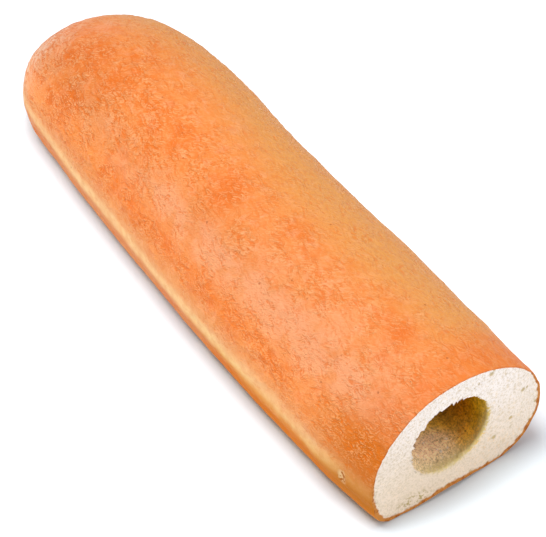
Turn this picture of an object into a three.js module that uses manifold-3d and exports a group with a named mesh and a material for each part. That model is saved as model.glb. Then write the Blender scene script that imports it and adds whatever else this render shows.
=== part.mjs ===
// Hot dog roll: a long soft bread roll with one rounded end, and the other end cut
// off square and pierced lengthwise with a deep blind hole for a sausage.
// Millimetres. +X runs along the roll to the cut end, +Z is up, and the roll rests on z = 0.
import * as THREE from 'three';
import { LoftGeometry } from 'three/addons/geometries/LoftGeometry.js';
import { mergeVertices } from 'three/addons/utils/BufferGeometryUtils.js';
import Module from 'manifold-3d';

// Whole roll
const LENGTH = 180;
const HALF_WIDTH = 27.2;
const HEIGHT = 37.2;

// Cross-section: where the sides are widest, how far the feet round in, and the hollow underside
const LEFT_WAIST = 11.8;
const RIGHT_WAIST = 15.1;
const LEFT_FOOT = 6.9;
const RIGHT_FOOT = 14.3;
const CREST_SHIFT = -2.7;
const ARCH = 1.3;
const FLAT_DEPTH = 0.2;

// Closed end: how far its rounding reaches in plan, over the top and under the tip
const TIP_HEIGHT = 8.6;
const PLAN_REACH = 39.5;
const PLAN_POWER = 2.5;
const TOP_REACH = 69.5;
const TOP_POWER = 2.2;
const UNDER_REACH = 15.7;
const FOOT_REACH = 26;
const TAPER = 0.065;
const TIP_FACET = 0.02;

// Cut end: each side draws in towards the cut, which is a little out of square
const LEFT_DRAW = 0.07;
const LEFT_DRAW_REACH = 23;
const RIGHT_DRAW = 0.139;
const RIGHT_DRAW_REACH = 42;
const TOP_DRAW = 0.037;
const TOP_DRAW_REACH = 50;
const CUT_ANGLE = 1.7;

// Sideways bow of the roll's long axis
const BOW = -2.1;
const BOW_SKEW = -0.8;
const BOW_END = -1.1;

// Uneven skin: soft swellings left by rising dough, and the shallow line a tray left on the sides
const SWELL = 0.3;
const TRAY_LINE_HEIGHT = 7.5;
const TRAY_LINE_DEPTH = 0.35;
const TRAY_LINE_WIDTH = 1.6;

// Sausage hole
const HOLE_RADIUS = 11.2;
const HOLE_DEPTH = 140;
const HOLE_SIDE = -3.4;
const HOLE_HEIGHT = 19;
const HOLE_TIP_REACH = 16;
const HOLE_ROUGHNESS = 0.25;
const TEAR_DEPTH = 0.9;
const TEAR_REACH = 3;
const MOUTH_EXTRA = 4;

// Facets
const POINTS_AROUND = 76;
const TIP_ROWS = 15;
const BODY_ROWS = 21;
const HOLE_POINTS = 40;
const HOLE_TIP_ROWS = 5;
const HOLE_ROWS = 14;
const HOLE_MOUTH_ROWS = 5;

const CRUST_COLOUR = 0xed995a;
const CUT_X = LENGTH / 2;
const TIP_X = -LENGTH / 2;

const wasm = await Module();
wasm.setup();

// Rounded end: 0 at the tip, 1 from `reach` inwards, along a superellipse of the given power
function rounding(distance, reach, power) {
  const t = THREE.MathUtils.clamp(distance / reach, 0, 1);
  return (1 - (1 - t) ** power) ** (1 / power);
}

// Distance from the tip at which a rounded end has grown to `share` of its full size
function distanceAt(share, reach, power) {
  return reach * (1 - (1 - share ** power) ** (1 / power));
}

// Places along a rounded end whose cross-sections grow by even turns from the tip
function tipStations(tipX, reach, power, rows) {
  const stations = [tipX + distanceAt(TIP_FACET, reach, power)];
  for (let i = 1; i < rows; i++) {
    const share = Math.sin((i / rows) * (Math.PI / 2));
    stations.push(tipX + distanceAt(share, reach, power));
  }
  return stations;
}

// Draw towards the cut: 1 at the cut, fading to 0 at `reach` from it
function fadeFromCut(x, reach) {
  return Math.max(0, 1 - (CUT_X - x) / reach) ** 2;
}

// Middle of the roll's width at x
function axisSide(x) {
  const s = (CUT_X - x) / LENGTH;
  const bend = 4 * BOW * s * (1 - s);
  const skew = 10 * BOW_SKEW * s * (1 - s) * (1 - 2 * s);
  return bend + skew + BOW_END * s;
}

// Fullest cross-section as evenly spaced points, anticlockwise from the right-hand waist
function fullSection() {
  const left = -HALF_WIDTH + LEFT_FOOT;
  const right = HALF_WIDTH - RIGHT_FOOT;
  const middle = (left + right) / 2;
  const leftEase = (middle - left) / 2;
  const rightEase = (right - middle) / 2;
  const outline = new THREE.Path();
  outline.absellipse(
    CREST_SHIFT, RIGHT_WAIST, HALF_WIDTH - CREST_SHIFT, HEIGHT - RIGHT_WAIST, 0, Math.PI / 2,
  );
  outline.absellipse(
    CREST_SHIFT, LEFT_WAIST, HALF_WIDTH + CREST_SHIFT, HEIGHT - LEFT_WAIST, Math.PI / 2, Math.PI,
  );
  outline.absellipse(left, LEFT_WAIST, LEFT_FOOT, LEFT_WAIST, Math.PI, 1.5 * Math.PI);
  outline.bezierCurveTo(left + leftEase, 0, middle - leftEase, ARCH, middle, ARCH);
  outline.bezierCurveTo(middle + rightEase, ARCH, right - rightEase, 0, right, 0);
  outline.absellipse(right, RIGHT_WAIST, RIGHT_FOOT, RIGHT_WAIST, 1.5 * Math.PI, 2 * Math.PI);
  return outline.getSpacedPoints(POINTS_AROUND).slice(0, POINTS_AROUND);
}

// Height at which the side nearest to y is widest
function waistHeight(y) {
  const share = THREE.MathUtils.smoothstep(y, -HALF_WIDTH / 2, HALF_WIDTH / 2);
  return THREE.MathUtils.lerp(LEFT_WAIST, RIGHT_WAIST, share);
}

// Height of a point of the section, whose flat foot turns to a plain oval as fullness falls to 0
function footRise(point, waist, fullness) {
  const oval = waist * (1 - Math.sqrt(Math.max(0, 1 - (point.x / HALF_WIDTH) ** 2)));
  return point.y > waist ? point.y : THREE.MathUtils.lerp(oval, point.y, fullness);
}

// Soft swelling of the skin, and the tray's line along both sides
function skinOffset(x, y, z) {
  const broad = Math.sin(x / 15 + 0.7) * Math.sin(y / 9 + z / 12 + 0.4);
  const small = Math.sin(x / 7.3 + y / 11) * Math.sin(z / 6.1 + x / 19 + 2);
  const line = Math.exp(-(((z - TRAY_LINE_HEIGHT) / TRAY_LINE_WIDTH) ** 2));
  const along = THREE.MathUtils.smoothstep(x, TIP_X + 4, TIP_X + 24);
  return SWELL * (0.65 * broad + 0.35 * small) - TRAY_LINE_DEPTH * line * along;
}

// One cross-section of the roll at x, rounded at the closed end and drawn in at the cut
function sectionAt(x, section) {
  const s = (CUT_X - x) / LENGTH;
  const plan = rounding(x - TIP_X, PLAN_REACH, PLAN_POWER) * (1 - TAPER * s);
  const leftPlan = plan * (1 - LEFT_DRAW * fadeFromCut(x, LEFT_DRAW_REACH));
  const rightPlan = plan * (1 - RIGHT_DRAW * fadeFromCut(x, RIGHT_DRAW_REACH));
  const top = rounding(x - TIP_X, TOP_REACH, TOP_POWER);
  const drawnTop = top * (1 - TOP_DRAW * fadeFromCut(x, TOP_DRAW_REACH));
  const under = rounding(x - TIP_X, UNDER_REACH, 2);
  const fullness = rounding(x - TIP_X, FOOT_REACH, 2);
  const lean = Math.tan(THREE.MathUtils.degToRad(CUT_ANGLE)) * (1 - s) ** 3;
  return section.map((point) => {
    const y = point.x * (point.x < 0 ? leftPlan : rightPlan);
    const waist = waistHeight(point.x);
    const waistHere = TIP_HEIGHT + (waist - TIP_HEIGHT) * drawnTop;
    const below = (waistHere - TIP_HEIGHT * (1 - under)) / waist;
    const rise = footRise(point, waist, fullness) - waist;
    const z = waistHere + rise * (rise > 0 ? drawnTop : below);
    const outward = new THREE.Vector2(y, z - TIP_HEIGHT - 4).normalize();
    const swell = skinOffset(x, y, z) * plan * THREE.MathUtils.smoothstep(z, 1, 4);
    const side = y + outward.x * swell;
    const skinZ = Math.max(0, z + outward.y * swell - FLAT_DEPTH);
    return new THREE.Vector3(x - side * lean, axisSide(x) + side, skinZ);
  });
}

// Places of the cross-sections, close together on the rounded tip and even along the body
function rollStations() {
  const stations = tipStations(TIP_X, PLAN_REACH, PLAN_POWER, TIP_ROWS);
  for (let i = 0; i <= BODY_ROWS; i++) {
    stations.push(THREE.MathUtils.lerp(TIP_X + PLAN_REACH, CUT_X, i / BODY_ROWS));
  }
  return stations;
}

// Radius of the hole: rounded at its inner end, grainy along its wall and torn at its mouth
function holeRadius(x, turn) {
  const depth = CUT_X - x;
  const tip = rounding(x - (CUT_X - HOLE_DEPTH), HOLE_TIP_REACH, 2);
  const grain = Math.sin(5 * turn + x / 2.9) * Math.sin(3 * turn - x / 4.3 + 1);
  const tearSide = THREE.MathUtils.smoothstep(Math.cos(turn - 0.75 * Math.PI), -0.2, 0.8);
  const teeth = 0.5 + 0.5 * Math.sin(11 * turn + 2 * Math.sin(4 * turn));
  const tear = TEAR_DEPTH * tearSide * teeth * Math.exp(-Math.max(0, depth) / TEAR_REACH);
  return (HOLE_RADIUS + HOLE_ROUGHNESS * grain) * tip - tear;
}

function holeStations() {
  const inner = CUT_X - HOLE_DEPTH;
  const stations = tipStations(inner, HOLE_TIP_REACH, 2, HOLE_TIP_ROWS);
  const wallStart = inner + HOLE_TIP_REACH;
  const mouthStart = CUT_X - MOUTH_EXTRA;
  for (let i = 0; i < HOLE_ROWS; i++) {
    stations.push(THREE.MathUtils.lerp(wallStart, mouthStart, i / HOLE_ROWS));
  }
  for (let i = 0; i <= HOLE_MOUTH_ROWS; i++) {
    stations.push(mouthStart + (2 * MOUTH_EXTRA * i) / HOLE_MOUTH_ROWS);
  }
  return stations;
}

function holeRing(x) {
  const ring = [];
  for (let j = 0; j < HOLE_POINTS; j++) {
    const turn = (j / HOLE_POINTS) * 2 * Math.PI;
    const radius = holeRadius(x, turn);
    const y = HOLE_SIDE + radius * Math.cos(turn);
    ring.push(new THREE.Vector3(x, y, HOLE_HEIGHT + radius * Math.sin(turn)));
  }
  return ring;
}

function toSolid(geometry) {
  const plain = new THREE.BufferGeometry();
  plain.setAttribute('position', geometry.getAttribute('position'));
  plain.setIndex(geometry.getIndex());
  const merged = mergeVertices(plain, 1e-4);
  const mesh = new wasm.Mesh({
    numProp: 3,
    vertProperties: new Float32Array(merged.attributes.position.array),
    triVerts: new Uint32Array(merged.index.array),
  });
  return new wasm.Manifold(mesh);
}

function toGeometry(solid) {
  const { vertProperties, triVerts } = solid.getMesh();
  const geometry = new THREE.BufferGeometry();
  geometry.setAttribute('position', new THREE.BufferAttribute(vertProperties, 3));
  geometry.setIndex(new THREE.BufferAttribute(triVerts, 1));
  geometry.computeVertexNormals();
  return geometry;
}

const capped = { closed: true, capStart: true, capEnd: true };
const section = fullSection();
const loaf = toSolid(new LoftGeometry(rollStations().map((x) => sectionAt(x, section)), capped));
const hole = toSolid(new LoftGeometry(holeStations().map(holeRing), capped));
const rollGeometry = toGeometry(loaf.subtract(hole));

// The roll's box is centred over the origin and stands on z = 0
rollGeometry.computeBoundingBox();
const box = rollGeometry.boundingBox;
rollGeometry.translate(-(box.min.x + box.max.x) / 2, -(box.min.y + box.max.y) / 2, -box.min.z);

const crust = new THREE.MeshStandardMaterial({
  color: CRUST_COLOUR,
  roughness: 0.62,
  metalness: 0,
});
const roll = new THREE.Mesh(rollGeometry, crust);
roll.name = 'roll';

const part = new THREE.Group();
part.name = 'hot dog roll';
part.add(roll);

export default part;
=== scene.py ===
"""Looks of a hot dog roll: a long soft bread roll, cut square at one end and pierced for a sausage.

The skin, the cut face and the hole are one closed surface, worked out with numpy in millimetres on a grid
whose rows run from the closed tip along the skin, across the cut face and down the hole to its inner end.
"""

import math
from functools import partial

import bpy
import numpy as np
from mathutils import Matrix, Vector


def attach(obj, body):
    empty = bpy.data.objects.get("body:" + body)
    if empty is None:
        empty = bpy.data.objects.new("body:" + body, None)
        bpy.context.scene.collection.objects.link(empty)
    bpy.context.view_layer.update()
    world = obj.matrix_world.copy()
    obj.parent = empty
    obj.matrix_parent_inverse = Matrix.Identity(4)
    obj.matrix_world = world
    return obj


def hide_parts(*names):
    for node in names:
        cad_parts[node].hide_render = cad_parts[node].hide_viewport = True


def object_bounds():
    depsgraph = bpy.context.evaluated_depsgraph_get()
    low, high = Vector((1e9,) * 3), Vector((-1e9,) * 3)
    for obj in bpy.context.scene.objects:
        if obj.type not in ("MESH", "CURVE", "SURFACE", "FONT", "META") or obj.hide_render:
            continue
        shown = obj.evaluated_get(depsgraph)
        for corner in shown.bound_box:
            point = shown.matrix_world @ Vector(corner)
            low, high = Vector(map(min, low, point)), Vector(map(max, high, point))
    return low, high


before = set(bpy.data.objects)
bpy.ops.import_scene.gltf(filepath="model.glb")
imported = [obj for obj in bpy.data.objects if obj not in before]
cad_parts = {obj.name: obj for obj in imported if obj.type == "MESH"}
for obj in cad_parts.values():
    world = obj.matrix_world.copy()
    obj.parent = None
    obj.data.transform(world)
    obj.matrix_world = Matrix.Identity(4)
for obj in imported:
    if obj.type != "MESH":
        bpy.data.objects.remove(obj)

bl_info = {
    "name": "Hot Dog Roll",
    "version": (1, 0, 0),
    "blender": (4, 5, 0),
    "location": "3D View > Sidebar > Hot Dog Roll",
    "description": "Builds a baked roll with a sausage hole on a plain studio floor",
    "category": "Add Mesh",
}

CAD_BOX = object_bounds()
ROLL_SIZE = CAD_BOX[1] - CAD_BOX[0]
MM = 1000.0

# Form of the roll in millimetres, with the same named sizes as the part's source
LENGTH = 180.0
CUT_X = LENGTH / 2
TIP_X = -LENGTH / 2
HALF_WIDTH = 27.2
HEIGHT = 37.2
LEFT_WAIST = 11.8
RIGHT_WAIST = 15.1
LEFT_FOOT = 6.9
RIGHT_FOOT = 14.3
CREST_SHIFT = -2.7
ARCH = 1.3
FLAT_DEPTH = 0.2
TIP_HEIGHT = 8.6
PLAN_REACH = 39.5
PLAN_POWER = 2.5
TOP_REACH = 69.5
TOP_POWER = 2.2
UNDER_REACH = 15.7
FOOT_REACH = 26.0
TAPER = 0.065
LEFT_DRAW = 0.07
LEFT_DRAW_REACH = 23.0
RIGHT_DRAW = 0.139
RIGHT_DRAW_REACH = 42.0
TOP_DRAW = 0.037
TOP_DRAW_REACH = 50.0
CUT_ANGLE = math.radians(1.7)
BOW = -2.1
BOW_SKEW = -0.8
BOW_END = -1.1
TRAY_LINE_HEIGHT = 7.5
TRAY_LINE_DEPTH = 0.35
TRAY_LINE_WIDTH = 1.6
HOLE_SIDE = -3.4
HOLE_HEIGHT = 19.0
HOLE_TIP_REACH = 16.0
HOLE_NARROWING = 2.6
HOLE_NARROWING_REACH = 5.0
HOLE_NARROWING_TURN = math.radians(-125)

# Bulges along each flank: place, width and height
LEFT_BULGES = (
    (-73, 9, 0.6), (-57, 10, -0.6), (14, 26, 0.6), (60, 15, -0.35), (89, 6, 0.7), (10, 95, -0.42),
)
RIGHT_BULGES = (
    (-70, 14, -0.4), (-38, 8, 0.2), (-14, 14, -0.45), (27, 14, 0.35), (62, 14, -0.5), (89, 6, 0.9),
)

# Marks of the skin in millimetres, with the height of its painted sheen band, and its baked spots: place,
# side and radius
BAND_HEIGHT = 12.8
BAND_WIDTH = 2.2
PEACH_SHEEN_HEIGHT = 29.5
FLANK_LINE_HEIGHT = 22.5
FOOT_LINE_HEIGHT = 6.5
CREASE_X = -79
SCAR_X = 80.5
SCAR_HEIGHT = 11.2
SCAR_LENGTH = 1.2
SCAR_WIDTH = 2.2
SCAR_DEPTH = 0.3
BAKED_SPOTS = ((-57, -9, 7), (-64, -14, 5), (-44, -11, 6), (-52, -21, 5), (8, -9, 6), (71, -3, 4))

# Edges and lip of the cut, in millimetres and radians
CUT_EDGE = 0.22
CUT_BULGE = 1.15
CUT_BULGE_SIDE = -5.0
CUT_BULGE_LEFT = 14.0
CUT_BULGE_RIGHT = 13.0
CUT_BULGE_HEIGHT = 8.0
CUT_BULGE_REACH = 30.0
LIP_SHARP = 0.15
LIP_SOFT = 0.5
LIP_SOFT_TURN = math.radians(-20)
LIP_WORN_TURN = math.radians(-60)
TEAR_TURN = math.radians(118)
TEAR_TEETH = 46
TEAR_FADE = 0.9
SPECKLED_SIDE = -13
SPECKLED_HEIGHT = 3.2
FAR_FROM_RIM = 20.0
# How far in the painted light keeps the hole's lower wall pale, in millimetres
PAINTED_LIGHT_FLOOR_REACH = 5.0

# Masks by turn round the hole: the degrees of its middle, and the cosines off it that give 0 and 1
# Some of these place painted shade and light: shaded, dusky, lower and lit in the hole, and the mask for
# the face's creamy crumb also darkens the face low down
TURN_MASKS = {
    "shaded": (40, -0.65, 0.6),
    "open": (-35, -0.75, 0.0),
    "browned": (-80, -0.5, 0.6),
    "creamy": (-100, -0.95, 0.95),
    "lower": (-100, 0.6, 1.0),
    "lit": (-43, 0.92, 1.0),
    "dusky": (-22, 0.95, 1.0),
}

# Painted light and shade in the hole: how much stronger each colour is on its lower and lit wall, as
# painted light, and on its dusky wall, as painted shade, and the palest it gets
LOWER_PAINTED_LIGHT_GAIN = (1.18, 1.14, 1.16)
LIT_GAIN = (1.45, 1.32, 0.85)
DUSKY_GAIN = (0.88, 0.82, 0.8)
PLAIN_GAIN = (1.0, 1.0, 1.0)
PALEST_WALL = (1.15, 0.80, 0.49)

# Grid of the surface
COLUMNS = 236
TIP_ROWS = 64
BODY_ROWS = 262
FACE_ROWS = 27
LIP_ROWS = 8
WALL_ROWS = 54
SECTION_POINTS = 240
FIRST_TIP_SHARE = 0.02

# Specular levels, and the floor's roughness
FLOOR_ROUGHNESS = 0.9
CRUST_SHEEN = 0.2
DULL_SHEEN = 0.03
CRUMB_SHEEN = 0.05

# Directions of the skin's folds about Z, on the dome and on the flanks
DOME_FOLD_TURN = math.radians(42)
FLANK_FOLD_TURN = math.radians(-12)


def ramp(value, low, high):
    """0 below low, 1 above high and the cubic 3t^2 - 2t^3 between; low may be the larger."""
    t = np.clip((value - low) / (high - low), 0, 1)
    return t * t * (3 - 2 * t)


def rounding(distance, reach, power):
    """Superellipse quarter: 0 at distance 0, rising to 1 at reach."""
    t = np.clip(distance / reach, 0, 1)
    return (1 - (1 - t) ** power) ** (1 / power)


def cut_fade(x, reach):
    """1 at the cut, falling as a square to 0 a reach away from it."""
    return np.maximum(0, 1 - (CUT_X - x) / reach) ** 2


def hump(value, centre, below, above):
    """Bell curve exp(-t^2) about centre, with a width of its own on each side."""
    width = np.where(value < centre, below, above)
    return np.exp(-(((value - centre) / width) ** 2))


def hashed(cell, seed):
    """Random number from 0 to 1 for each whole-number cell: its coordinates multiplied and mixed."""
    c = cell.astype(np.int64).astype(np.uint32)
    mixed = c[..., 0] * np.uint32(374761393) + c[..., 1] * np.uint32(668265263)
    mixed = mixed + c[..., 2] * np.uint32(2246822519) + np.uint32(seed * 3266489917 % 2**32)
    mixed = (mixed ^ (mixed >> np.uint32(15))) * np.uint32(2654435761)
    mixed = (mixed ^ (mixed >> np.uint32(13))) * np.uint32(1274126177)
    return (mixed ^ (mixed >> np.uint32(16))) / 2.0**32


def noise(place, size, seed):
    """Smooth noise from -1 to 1: random values on a lattice of that size, blended by quintic weights."""
    at = place / size + 1000
    cell = np.floor(at)
    part = at - cell
    weight = part**3 * (part * (part * 6 - 15) + 10)
    total = np.zeros(place.shape[:-1])
    for corner in np.ndindex(2, 2, 2):
        share = np.prod(np.where(corner, weight, 1 - weight), axis=-1)
        total += share * hashed(cell + np.array(corner), seed)
    return 2 * total - 1


def scattered(place, size, seed):
    """Distance in cells to the nearest of points scattered one to a cell, and that point's number."""
    at = place / size + 1000
    cell = np.floor(at)
    nearest = np.full(place.shape[:-1], 9.0)
    number = np.zeros_like(nearest)
    for step in np.ndindex(3, 3, 3):
        here = cell + np.array(step) - 1
        spot = here + np.stack([hashed(here, seed + k) for k in range(3)], -1)
        distance = np.linalg.norm(spot - at, axis=-1)
        closer = distance < nearest
        number = np.where(closer, hashed(here, seed + 3), number)
        nearest = np.minimum(nearest, distance)
    return nearest, number


def full_section(count):
    """Section of the roll as evenly spaced (y, z), anticlockwise from the right-hand waist.

    Four ellipse quarters, two above the waists and two for the feet, joined below by an arch
    that rises and falls as a smooth ramp.
    """
    q = np.linspace(0, np.pi / 2, SECTION_POINTS, endpoint=False)
    t = np.linspace(0, 1, SECTION_POINTS, endpoint=False)
    left = -HALF_WIDTH + LEFT_FOOT
    right = HALF_WIDTH - RIGHT_FOOT
    middle = (left + right) / 2
    rise = t * t * (3 - 2 * t)
    over_right = HEIGHT - RIGHT_WAIST
    over_left = HEIGHT - LEFT_WAIST
    path = [
        (CREST_SHIFT + (HALF_WIDTH - CREST_SHIFT) * np.cos(q), RIGHT_WAIST + over_right * np.sin(q)),
        (CREST_SHIFT - (HALF_WIDTH + CREST_SHIFT) * np.sin(q), LEFT_WAIST + over_left * np.cos(q)),
        (left - LEFT_FOOT * np.cos(q), LEFT_WAIST * (1 - np.sin(q))),
        (left + (middle - left) * t, ARCH * rise),
        (middle + (right - middle) * t, ARCH * (1 - rise)),
        (right + RIGHT_FOOT * np.sin(q), RIGHT_WAIST * (1 - np.cos(q))),
        (np.array([HALF_WIDTH]), np.array([RIGHT_WAIST])),
    ]
    y, z = (np.concatenate([piece[k] for piece in path]) for k in range(2))
    walked = np.concatenate([[0], np.cumsum(np.hypot(np.diff(y), np.diff(z)))])
    even = np.arange(count) / count * walked[-1]
    return np.interp(even, walked, y), np.interp(even, walked, z)


def stations():
    """Row positions along X: by a sine round the tip, then evenly, closing up to the cut's edge."""
    share = np.sin(np.arange(TIP_ROWS) / TIP_ROWS * np.pi / 2)
    share[0] = FIRST_TIP_SHARE
    tip = TIP_X + PLAN_REACH * (1 - (1 - share**PLAN_POWER) ** (1 / PLAN_POWER))
    end = CUT_X - CUT_EDGE
    body = np.linspace(TIP_X + PLAN_REACH, end - 1.5 * CUT_EDGE, BODY_ROWS - 1)
    return np.concatenate([tip, body, [end]])


def skin_swell(x, y, z, swell):
    """Swelling of the dough: two products of sines, less a shallow line where the tray's edge was."""
    broad = np.sin(x / 15 + 0.7) * np.sin(y / 9 + z / 12 + 0.4)
    small = np.sin(x / 7.3 + y / 11) * np.sin(z / 6.1 + x / 19 + 2)
    line = hump(z, TRAY_LINE_HEIGHT, TRAY_LINE_WIDTH, TRAY_LINE_WIDTH)
    line = line * ramp(x, TIP_X + 4, TIP_X + 24)
    return swell * (0.65 * broad + 0.35 * small) - TRAY_LINE_DEPTH * line


def bulges(x, places):
    """Sum of bell curves along x, each with its place, width and height."""
    return sum(height * hump(x, centre, width, width) for centre, width, height in places)


def cut_bulge(y, z):
    """How far the foot of the cut stands forward: a bell curve across, fading upwards."""
    across = hump(y, CUT_BULGE_SIDE, CUT_BULGE_LEFT, CUT_BULGE_RIGHT)
    return CUT_BULGE * across * ramp(z, CUT_BULGE_HEIGHT, 0.5)


def smooth_skin(x, py, pz, swell):
    """Skin before its fine relief: the section (py, pz) carried along x.

    Its width and its heights over and under the waist shrink as superellipses towards the tip, it draws in
    a little at the cut, and it bows sideways as a cubic of x. The last rows lean with the cut.
    """
    along = (CUT_X - x) / LENGTH
    plan = rounding(x - TIP_X, PLAN_REACH, PLAN_POWER) * (1 - TAPER * along)
    left_draw = 1 - LEFT_DRAW * cut_fade(x, LEFT_DRAW_REACH)
    right_draw = 1 - RIGHT_DRAW * cut_fade(x, RIGHT_DRAW_REACH)
    top = rounding(x - TIP_X, TOP_REACH, TOP_POWER) * (1 - TOP_DRAW * cut_fade(x, TOP_DRAW_REACH))
    under = rounding(x - TIP_X, UNDER_REACH, 2)
    flat = rounding(x - TIP_X, FOOT_REACH, 2)
    waist = LEFT_WAIST + (RIGHT_WAIST - LEFT_WAIST) * ramp(py, -HALF_WIDTH / 2, HALF_WIDTH / 2)
    oval = waist * (1 - np.sqrt(np.maximum(0, 1 - (py / HALF_WIDTH) ** 2)))
    base = np.where(pz > waist, pz, oval + (pz - oval) * flat)
    middle = TIP_HEIGHT + (waist - TIP_HEIGHT) * top
    below = (middle - TIP_HEIGHT * (1 - under)) / waist
    rise = base - waist
    z = middle + rise * np.where(rise > 0, top, below)
    y = py * plan * np.where(py < 0, left_draw, right_draw)
    out_z = z - TIP_HEIGHT - 4
    reach = np.hypot(y, out_z) + 1e-9
    bulge = skin_swell(x, y, z, swell) * plan * ramp(z, 1, 4)
    side = y + y / reach * bulge
    height = np.maximum(0, z + out_z / reach * bulge - FLAT_DEPTH)
    even_bow = 4 * BOW * along * (1 - along)
    skewed_bow = 10 * BOW_SKEW * along * (1 - along) * (1 - 2 * along)
    bow = even_bow + skewed_bow + BOW_END * along
    lean = math.tan(CUT_ANGLE) * (1 - along) ** 3
    return np.stack([x - side * lean, bow + side, height], -1)


def grid_normals(points):
    """Outward unit normals of a closed-round grid: its step round crossed with its step along."""
    around = np.roll(points, -1, 1) - np.roll(points, 1, 1)
    along = np.gradient(points, axis=0)
    normal = np.cross(around, along)
    return normal / (np.linalg.norm(normal, axis=-1, keepdims=True) + 1e-12)


def skin_relief(place, wrinkled, depth):
    """Height of the skin's relief: soft lumps, folds where warped noise crosses zero, and small pits."""
    lumps = 0.08 * noise(place, 8.5, 1) + 0.05 * noise(place, 4.2, 2)
    warp = np.stack([noise(place, 4.5, 3 + k) for k in range(3)], -1)
    bent = place + 1.6 * warp
    fold = 1 - ramp(np.abs(noise(bent, 3.1, 6)), 0, 0.34)
    crossfold = 1 - ramp(np.abs(noise(bent, 2.2, 7)), 0, 0.4)
    patchy = ramp(noise(place, 7.0, 8), -0.5, 0.4)
    grain = 0.3 * noise(place, 1.5, 9)
    nearest, number = scattered(place, 5.0, 10)
    pits = (number < 0.35) * (1 - ramp(nearest * 5.0, 0.2, 0.8))
    return lumps + depth * (wrinkled * patchy * (fold + 0.6 * crossfold) + grain - 1.6 * pits)


def tray_dimples(place, pz):
    """Height of the dimples under the roll: the upper half of noise of two sizes, low on the section."""
    dents = np.maximum(0, noise(place, 5.5, 11)) + 0.5 * np.maximum(0, noise(place, 2.4, 12))
    return 0.3 * dents * ramp(pz, 2.5, 0.5)


def baked_spots(x, y):
    """Strongest of a few round patches that baked deeper, each a bell curve about its place."""
    spots = [np.exp(-((x - sx) ** 2 + (y - sy) ** 2) / reach**2) for sx, sy, reach in BAKED_SPOTS]
    return np.max(spots, axis=0)


def skin_marks(x, py, pz, place):
    """Masks from 0 to 1 for the crust's colours, by height on the section, side and place along."""
    wander = 0.9 * noise(place, 16.0, 21) + 0.4 * noise(place, 5.0, 22)
    left = ramp(py, 6, -14)
    at_tip = ramp(x, -42, -84)
    low = ramp(x, 20, 60)
    band_height = BAND_HEIGHT + 3.0 * at_tip + 1.2 * low + wander * 0.6
    core = np.exp(-(np.abs((pz - band_height) / (BAND_WIDTH + 0.5 * low)) ** 3))
    shoulder = 0.55 * hump(pz, band_height, 2.0, 4.8)
    band = np.maximum(core, shoulder) * (1 - 0.25 * low - 0.55 * ramp(x, 66, 88))
    band = band * (1 - 0.5 * ramp(x, -70, -88)) * np.where(py < 0, 1, 0.8)
    # Painted highlight: a peach band high on the left of the dome stands in for the lamps' soft sheen; the
    # tip's top is made peach as well
    peach = left * hump(pz, PEACH_SHEEN_HEIGHT + 1.5 * wander, 4.5, 3.5 + 3.0 * low) * ramp(x, -60, 15)
    peach = peach * (1 - 0.5 * ramp(x, 70, 90))
    peach = np.maximum(peach, 0.5 * ramp(x, -58, -72) * ramp(pz, 16, 26))
    ahead = 6 * ramp(x, -30, 10)
    tan = ramp(py + 2 * wander + ahead, -1, 20) * ramp(pz, 12, 18)
    tan = tan * (1 - 0.7 * ramp(x, 68, 84))
    crest_line = hump(py, -9 + 2 * wander, 5, 6) * ramp(pz, 25, 31) * ramp(x, 40, -30)
    flank_line = hump(pz, FLANK_LINE_HEIGHT + wander, 2.5, 3.0) * left
    flank_line = flank_line * ramp(x, -40, -10) * ramp(x, 66, 50)
    spots = baked_spots(x, py + wander) * ramp(pz, 12, 18)
    deep = np.maximum(np.maximum(0.45 * crest_line, 0.6 * flank_line), spots)
    deep = np.maximum(deep, 0.55 * ramp(x, 74, 88))
    foot = hump(pz, FOOT_LINE_HEIGHT, 3.5, 3.0) * (0.1 + 0.9 * ramp(x, 5, 38))
    deep = np.maximum(deep, foot)
    toast = ramp(x, 60, 86) * left * ramp(pz, 32, 24) * ramp(pz, 2, 8)
    wrinkled = (0.6 + 0.4 * left * ramp(pz, 15, 21)) * ramp(pz, 8, 19)
    wrinkled = wrinkled * (1 - 0.25 * peach) * (1 + 0.3 * ramp(x, -15, -50))
    creased = ramp(py, 5, -18) * ramp(pz, 9, 20) * hump(x, CREASE_X, 7, 6)
    under = ramp(pz, 5.0, 0.5)
    # Painted light: the side mask makes the colours stronger on the flanks below the dome, fully on the
    # left and about a third as much on the right, and on the whole left side near the middle
    side = ramp(pz, 33, 21) * (0.35 + 0.65 * left)
    side = np.maximum(side, 0.24 * left * hump(x, -20, 22, 28))
    # The dull mask lowers the sheen low on the left flank, and the foot gain also uses it to paint light
    # there
    dull = ramp(pz, 15 + 3 * ramp(x, 66, 84), 9.5)
    dull = dull * (0.15 + 0.85 * ramp(x, 5, 45)) * left
    scar = np.exp(-(((x - SCAR_X) / SCAR_LENGTH) ** 2) - ((pz - SCAR_HEIGHT) / SCAR_WIDTH) ** 2)
    scar = scar * (py < 0)
    marks = {"band": band, "peach": peach, "tan": tan, "deep": deep, "creased": creased, "scar": scar}
    marks |= {"toast": toast, "wrinkled": wrinkled, "under": under, "side": side, "dull": dull}
    return {name: np.broadcast_to(mask, wander.shape) for name, mask in marks.items()}


def tear(turn, depth, tear_depth):
    """How far the torn mouth stands into the hole: uneven sawteeth at its upper left, fading inwards."""
    side = ramp(np.cos(turn - TEAR_TURN), -0.1, 0.45)
    phase = (TEAR_TEETH * turn + 3.5 * np.sin(9 * turn) + 2.0 * np.sin(5 * turn + 1)) / (2 * np.pi)
    uneven = 0.6 + 0.4 * np.sin(2.4 * np.floor(phase) ** 2)
    return tear_depth * side * uneven * (phase % 1) * np.exp(-depth / TEAR_FADE)


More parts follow.
